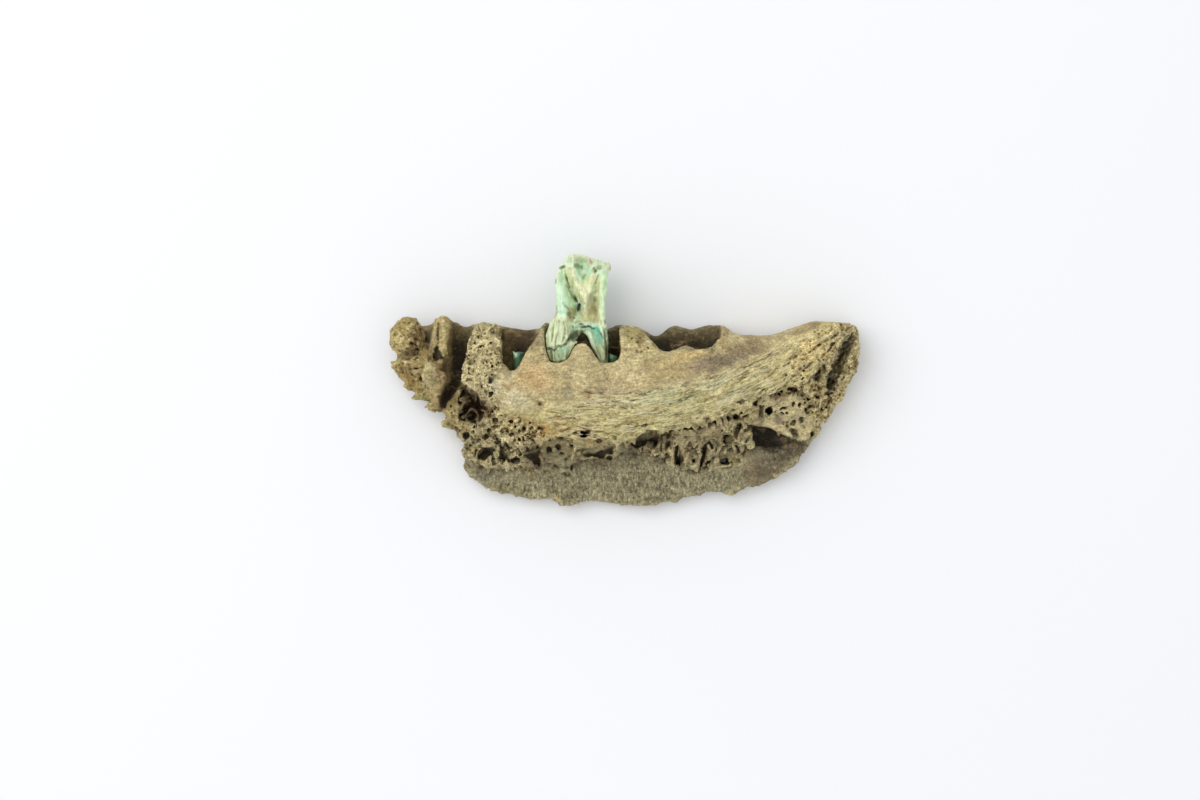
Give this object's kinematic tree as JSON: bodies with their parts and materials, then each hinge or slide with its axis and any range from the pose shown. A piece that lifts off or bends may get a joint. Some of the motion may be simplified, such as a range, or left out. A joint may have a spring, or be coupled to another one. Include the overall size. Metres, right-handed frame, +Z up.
{
  "type": "fossil jaw fragment",
  "caption": "Broken piece of a small grazing animal's lower jaw, lying on its inner side, with a green-stained cheek tooth standing in open sockets above torn spongy bone.",
  "frame": {"origin": "on the surface that the fragment rests on, under the middle of its bounding box", "axes": "+X along the jaw, from the end with the open trough and knob towards the end without teeth; +Y the way the teeth stand out of their sockets; +Z up from the flat resting patch through the broken outer wall"},
  "size_m": [0.0512, 0.0273, 0.0103],
  "materials": {
    "bone": "dry, porous, matte",
    "stained_tooth": "dull, finely ribbed, copper-green stain",
    "stained_root": "dull, dark green stain"
  },
  "bodies": {
    "root": {"jaw_bone": "bone", "cheek_tooth": "stained_tooth", "root_fragment_left": "stained_root", "root_fragment_right": "stained_root"}
  },
  "joints": []
}
